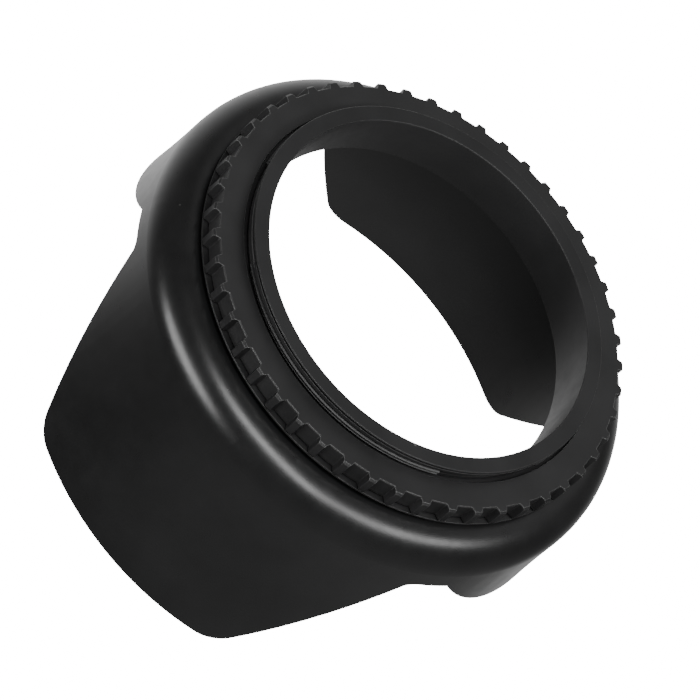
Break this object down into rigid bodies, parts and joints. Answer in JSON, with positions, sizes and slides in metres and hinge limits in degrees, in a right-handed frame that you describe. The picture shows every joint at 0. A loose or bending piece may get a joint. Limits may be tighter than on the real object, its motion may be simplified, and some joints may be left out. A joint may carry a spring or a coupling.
{
  "type": "lens hood",
  "caption": "Petal-shaped screw-in lens hood with a threaded mount sleeve, a ribbed lock ring and a shell that turns to line up its petals.",
  "frame": {"origin": "centre of the lock ring's rear face, where the lens rim rests, on the optical axis", "axes": "+Z along the optical axis towards the lens; the long petals lie on X and the short petals on Y"},
  "size_m": [0.0888, 0.0846, 0.0449],
  "materials": {
    "shell_plastic": "satin black moulded plastic",
    "sleeve_plastic": "matt black moulded plastic, fine grain",
    "ring_plastic": "matt black moulded plastic, fine grain"
  },
  "bodies": {
    "shell": {"petal_shell": "shell_plastic"},
    "sleeve": {"mount_sleeve": "sleeve_plastic"},
    "ring": {"lock_ring": "ring_plastic"}
  },
  "joints": [
    {"name": "petal_alignment", "type": "hinge", "parent": "shell", "child": "sleeve", "pos_m": [0, 0, -0.006], "axis": [0, 0, 1], "continuous": true},
    {"name": "ring_lock", "type": "hinge", "parent": "sleeve", "child": "ring", "pos_m": [0, 0, -0.002], "axis": [0, 0, 1], "range_deg": [0, 90]}
  ]
}
